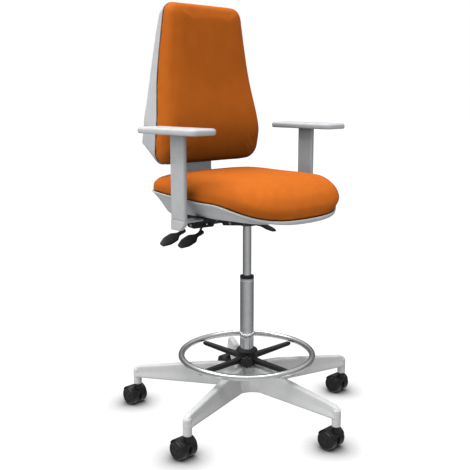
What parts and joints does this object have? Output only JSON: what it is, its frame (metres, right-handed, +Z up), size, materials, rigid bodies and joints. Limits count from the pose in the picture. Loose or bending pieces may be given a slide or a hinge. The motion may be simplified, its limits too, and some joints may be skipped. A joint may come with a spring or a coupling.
{
  "type": "drafting chair",
  "caption": "High upholstered work chair: castor base, gas lift, footring, tilting seat, tall backrest and height-adjustable arms.",
  "frame": {"origin": "on the floor under the middle of the chair's box", "axes": "+Z up; the chair faces -Y; +X is the sitter's left"},
  "size_m": [0.7866, 0.7494, 1.337],
  "materials": {
    "orange_fabric": "woven upholstery, matt",
    "light_grey_plastic": "satin light grey moulding",
    "base_grey": "satin light grey moulding",
    "black_plastic": "fine-textured black moulding",
    "castor_black": "semi-matt black moulding",
    "chrome": "polished",
    "black_steel": "black powder coat",
    "bright_steel": "zinc plated",
    "grey_painted_steel": "light grey powder coat",
    "plywood": "birch plywood"
  },
  "bodies": {
    "base": {"star_base": "base_grey", "outer_tube": "chrome", "guide_bush": "black_plastic"},
    "lift_rod": {"piston_rod": "bright_steel", "thrust_bearing": "bright_steel", "retaining_clip": "bright_steel"},
    "lift": {"pressure_tube": "chrome", "mechanism_housing": "black_steel"},
    "valve": {"valve_button": "bright_steel"},
    "seat": {"seat_plate": "black_steel", "tilt_axle": "bright_steel", "recline_axle": "bright_steel", "recline_spring": "bright_steel", "seat_cushion": "orange_fabric", "seat_board": "plywood", "seat_shell": "light_grey_plastic", "arm_right_bar": "grey_painted_steel", "arm_right_bolt": "bright_steel", "arm_right_foot": "light_grey_plastic", "arm_left_bar": "grey_painted_steel", "arm_left_bolt": "bright_steel", "arm_left_foot": "light_grey_plastic"},
    "back_frame": {"back_bracket": "black_steel", "back_bar": "black_steel", "back_bar_cover": "light_grey_plastic"},
    "backrest": {"back_cushion": "orange_fabric", "back_board": "plywood", "back_shell": "light_grey_plastic"},
    "back_tilt_lever": {"back_tilt_lever": "black_plastic"},
    "seat_tilt_lever": {"seat_tilt_lever": "black_plastic"},
    "height_lever": {"height_lever": "black_plastic"},
    "arm_right": {"arm_right_sleeve": "light_grey_plastic", "arm_right_pad": "light_grey_plastic"},
    "arm_left": {"arm_left_sleeve": "light_grey_plastic", "arm_left_pad": "light_grey_plastic"},
    "arm_right_button": {"arm_right_button": "light_grey_plastic"},
    "arm_left_button": {"arm_left_button": "light_grey_plastic"},
    "footring": {"footring_ring": "chrome", "footring_spider": "black_plastic"},
    "footring_knob": {"footring_knob": "black_plastic"},
    "castor_1": {"castor_1_hood": "castor_black", "castor_1_axle": "bright_steel"},
    "castor_1_wheel_right": {"castor_1_wheel_right": "castor_black"},
    "castor_1_wheel_left": {"castor_1_wheel_left": "castor_black"},
    "castor_2": {"castor_2_hood": "castor_black", "castor_2_axle": "bright_steel"},
    "castor_2_wheel_right": {"castor_2_wheel_right": "castor_black"},
    "castor_2_wheel_left": {"castor_2_wheel_left": "castor_black"},
    "castor_3": {"castor_3_hood": "castor_black", "castor_3_axle": "bright_steel"},
    "castor_3_wheel_right": {"castor_3_wheel_right": "castor_black"},
    "castor_3_wheel_left": {"castor_3_wheel_left": "castor_black"},
    "castor_4": {"castor_4_hood": "castor_black", "castor_4_axle": "bright_steel"},
    "castor_4_wheel_right": {"castor_4_wheel_right": "castor_black"},
    "castor_4_wheel_left": {"castor_4_wheel_left": "castor_black"},
    "castor_5": {"castor_5_hood": "castor_black", "castor_5_axle": "bright_steel"},
    "castor_5_wheel_right": {"castor_5_wheel_right": "castor_black"},
    "castor_5_wheel_left": {"castor_5_wheel_left": "castor_black"}
  },
  "joints": [
    {"name": "seat_swivel", "type": "hinge", "parent": "base", "child": "lift_rod", "pos_m": [0, 0.018, 0.296], "axis": [0, 0, 1], "continuous": true},
    {"name": "seat_height", "type": "slide", "parent": "lift_rod", "child": "lift", "axis": [0, 0, 1], "range_m": [-0.145, 0.1]},
    {"name": "valve_travel", "type": "slide", "parent": "lift", "child": "valve", "axis": [0, 0, -1], "range_m": [0, 0.003]},
    {"name": "seat_tilt", "type": "hinge", "parent": "lift", "child": "seat", "pos_m": [0, -0.027, 0.663], "axis": [-1, 0, 0], "range_deg": [-2, 4]},
    {"name": "back_recline", "type": "hinge", "parent": "seat", "child": "back_frame", "pos_m": [0, 0.14, 0.648], "axis": [-1, 0, 0], "range_deg": [0, 20]},
    {"name": "back_height", "type": "slide", "parent": "back_frame", "child": "backrest", "axis": [0, 0, 1], "range_m": [0, 0.07]},
    {"name": "back_tilt_lever_pull", "type": "hinge", "parent": "seat", "child": "back_tilt_lever", "pos_m": [-0.118, 0.17, 0.644], "axis": [0, 1, 0], "range_deg": [0, 12], "stiffness_Nm_per_rad": 0.6, "springref_deg": -8.59},
    {"name": "seat_tilt_lever_pull", "type": "hinge", "parent": "seat", "child": "seat_tilt_lever", "pos_m": [-0.118, 0.082, 0.651], "axis": [0, 1, 0], "range_deg": [0, 12], "stiffness_Nm_per_rad": 0.6, "springref_deg": -8.59},
    {"name": "height_lever_pull", "type": "hinge", "parent": "seat", "child": "height_lever", "pos_m": [0.118, 0.11, 0.642], "axis": [0, -1, 0], "range_deg": [0, 12], "stiffness_Nm_per_rad": 0.6, "springref_deg": -8.59},
    {"name": "arm_right_height", "type": "slide", "parent": "seat", "child": "arm_right", "axis": [0, 0, 1], "range_m": [0, 0.08]},
    {"name": "arm_right_button_press", "type": "slide", "parent": "arm_right", "child": "arm_right_button", "axis": [1, 0, 0], "range_m": [0, 0.002], "stiffness_N_per_m": 400, "springref_m": -0.001},
    {"name": "arm_left_height", "type": "slide", "parent": "seat", "child": "arm_left", "axis": [0, 0, 1], "range_m": [0, 0.08]},
    {"name": "arm_left_button_press", "type": "slide", "parent": "arm_left", "child": "arm_left_button", "axis": [-1, 0, 0], "range_m": [0, 0.002], "stiffness_N_per_m": 400, "springref_m": -0.001},
    {"name": "footring_height", "type": "slide", "parent": "base", "child": "footring", "axis": [0, 0, 1], "range_m": [0, 0.15]},
    {"name": "footring_knob_turn", "type": "hinge", "parent": "footring", "child": "footring_knob", "pos_m": [-0.03535, -0.01735, 0.1937], "axis": [-0.7071, -0.7071, 0], "continuous": true},
    {"name": "castor_1_swivel", "type": "hinge", "parent": "base", "child": "castor_1", "pos_m": [0, -0.361, 0.081], "axis": [0, 0, 1], "continuous": true},
    {"name": "castor_1_roll_right", "type": "hinge", "parent": "castor_1", "child": "castor_1_wheel_right", "pos_m": [0, -0.343, 0.03], "axis": [1, 0, 0], "continuous": true},
    {"name": "castor_1_roll_left", "type": "hinge", "parent": "castor_1", "child": "castor_1_wheel_left", "pos_m": [0, -0.343, 0.03], "axis": [1, 0, 0], "continuous": true},
    {"name": "castor_2_swivel", "type": "hinge", "parent": "base", "child": "castor_2", "pos_m": [0.36045, -0.09912, 0.081], "axis": [0, 0, 1], "continuous": true},
    {"name": "castor_2_roll_right", "type": "hinge", "parent": "castor_2", "child": "castor_2_wheel_right", "pos_m": [0.36045, -0.08112, 0.03], "axis": [1, 0, 0], "continuous": true},
    {"name": "castor_2_roll_left", "type": "hinge", "parent": "castor_2", "child": "castor_2_wheel_left", "pos_m": [0.36045, -0.08112, 0.03], "axis": [1, 0, 0], "continuous": true},
    {"name": "castor_3_swivel", "type": "hinge", "parent": "base", "child": "castor_3", "pos_m": [0.22277, 0.32462, 0.081], "axis": [0, 0, 1], "continuous": true},
    {"name": "castor_3_roll_right", "type": "hinge", "parent": "castor_3", "child": "castor_3_wheel_right", "pos_m": [0.22277, 0.34262, 0.03], "axis": [1, 0, 0], "continuous": true},
    {"name": "castor_3_roll_left", "type": "hinge", "parent": "castor_3", "child": "castor_3_wheel_left", "pos_m": [0.22277, 0.34262, 0.03], "axis": [1, 0, 0], "continuous": true},
    {"name": "castor_4_swivel", "type": "hinge", "parent": "base", "child": "castor_4", "pos_m": [-0.22277, 0.32462, 0.081], "axis": [0, 0, 1], "continuous": true},
    {"name": "castor_4_roll_right", "type": "hinge", "parent": "castor_4", "child": "castor_4_wheel_right", "pos_m": [-0.22277, 0.34262, 0.03], "axis": [1, 0, 0], "continuous": true},
    {"name": "castor_4_roll_left", "type": "hinge", "parent": "castor_4", "child": "castor_4_wheel_left", "pos_m": [-0.22277, 0.34262, 0.03], "axis": [1, 0, 0], "continuous": true},
    {"name": "castor_5_swivel", "type": "hinge", "parent": "base", "child": "castor_5", "pos_m": [-0.36045, -0.09912, 0.081], "axis": [0, 0, 1], "continuous": true},
    {"name": "castor_5_roll_right", "type": "hinge", "parent": "castor_5", "child": "castor_5_wheel_right", "pos_m": [-0.36045, -0.08112, 0.03], "axis": [1, 0, 0], "continuous": true},
    {"name": "castor_5_roll_left", "type": "hinge", "parent": "castor_5", "child": "castor_5_wheel_left", "pos_m": [-0.36045, -0.08112, 0.03], "axis": [1, 0, 0], "continuous": true}
  ],
  "couplings": [
    {"joint": "valve_travel", "follows": "height_lever_pull", "m_per_rad": 0.0143}
  ]
}
